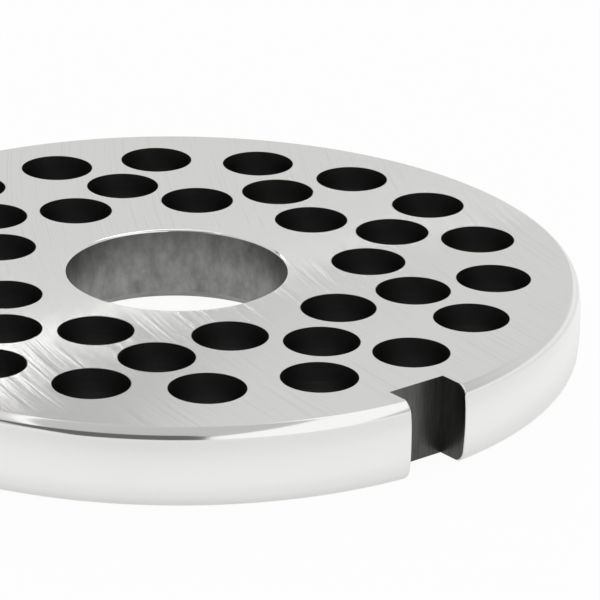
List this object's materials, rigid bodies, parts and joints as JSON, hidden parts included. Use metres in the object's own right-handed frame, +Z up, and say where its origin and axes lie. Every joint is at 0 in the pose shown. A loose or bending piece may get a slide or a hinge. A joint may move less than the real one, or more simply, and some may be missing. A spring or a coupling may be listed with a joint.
{
  "type": "meat grinder plate",
  "caption": "Flat round steel plate with a centre bore, rings of straight drilled holes and a square key notch in its rim, through which a grinder presses meat.",
  "frame": {"origin": "centre of the bore at the underside, on the plane that the plate rests on", "axes": "+Z up the bore, out of the cutting face; -Y from the bore towards the key notch"},
  "size_m": [0.082, 0.0819, 0.008],
  "materials": {
    "tool_steel": "both faces ground with fine crossing arcs, rim and its roundings polished, bore and passages left as drilled"
  },
  "bodies": {
    "root": {"grinder_plate": "tool_steel"}
  },
  "joints": []
}
